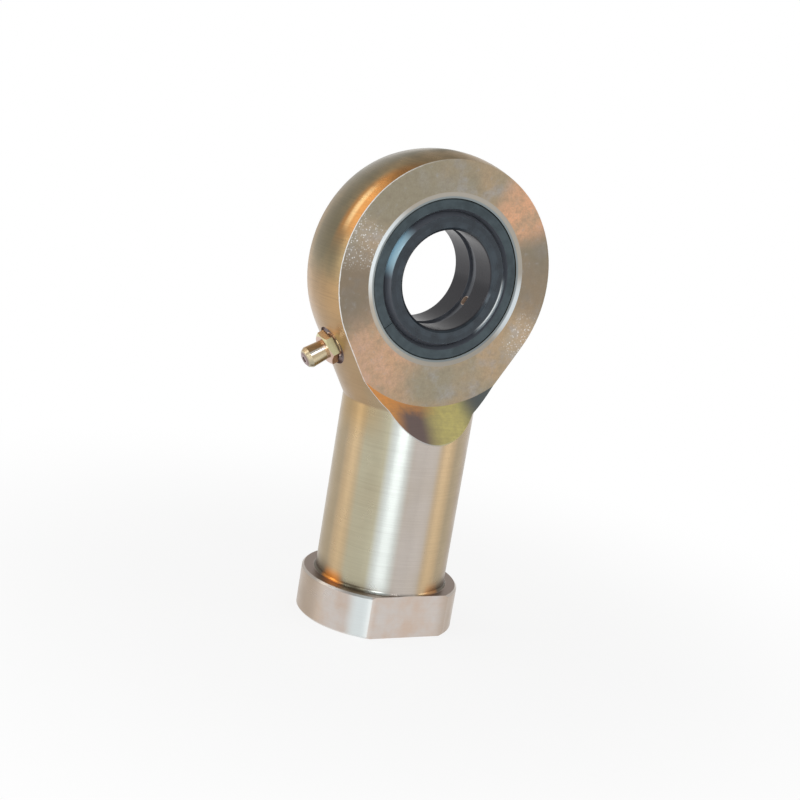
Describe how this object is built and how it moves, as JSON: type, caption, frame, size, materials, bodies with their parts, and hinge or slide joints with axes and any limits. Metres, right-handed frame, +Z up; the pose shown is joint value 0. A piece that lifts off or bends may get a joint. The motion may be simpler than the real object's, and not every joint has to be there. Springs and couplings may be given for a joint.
{
  "type": "cylinder rod eye",
  "caption": "Female rod eye for a hydraulic cylinder: ball shaped eye with a spherical plain bearing, threaded shank with wrench flats, and a grease nipple.",
  "frame": {"origin": "centre of the threaded hole's mouth, in the end face that the part stands on", "axes": "+Z up the shank to the eye, +Y along the pin bore, away from the side that the picture shows, and the grease nipple on -X"},
  "size_m": [0.0755, 0.041, 0.1457],
  "materials": {
    "plated_steel": "steel with a satin yellow zinc plating",
    "outer_ring_steel": "ground bearing steel, blackened",
    "inner_ring_steel": "ground bearing steel, blackened",
    "nipple_metal": "turned steel with a bright yellow plating",
    "ball_steel": "polished steel ball",
    "spring_wire": "drawn spring wire"
  },
  "bodies": {
    "eye_body": {"rod_end_body": "plated_steel", "bearing_outer_ring": "outer_ring_steel", "nipple_body": "nipple_metal", "nipple_spring": "spring_wire"},
    "swivel_ring": {"bearing_inner_ring": "inner_ring_steel"},
    "check_ball": {"nipple_ball": "ball_steel"}
  },
  "joints": [
    {"name": "bearing_swivel", "type": "hinge", "parent": "eye_body", "child": "swivel_ring", "pos_m": [0, 0, 0.1085], "axis": [0, 1, 0], "continuous": true},
    {"name": "check_ball_travel", "type": "slide", "parent": "eye_body", "child": "check_ball", "axis": [0.866, 0, 0.5], "range_m": [0, 0.0008], "stiffness_N_per_m": 100, "deforming": ["nipple_spring"]}
  ]
}
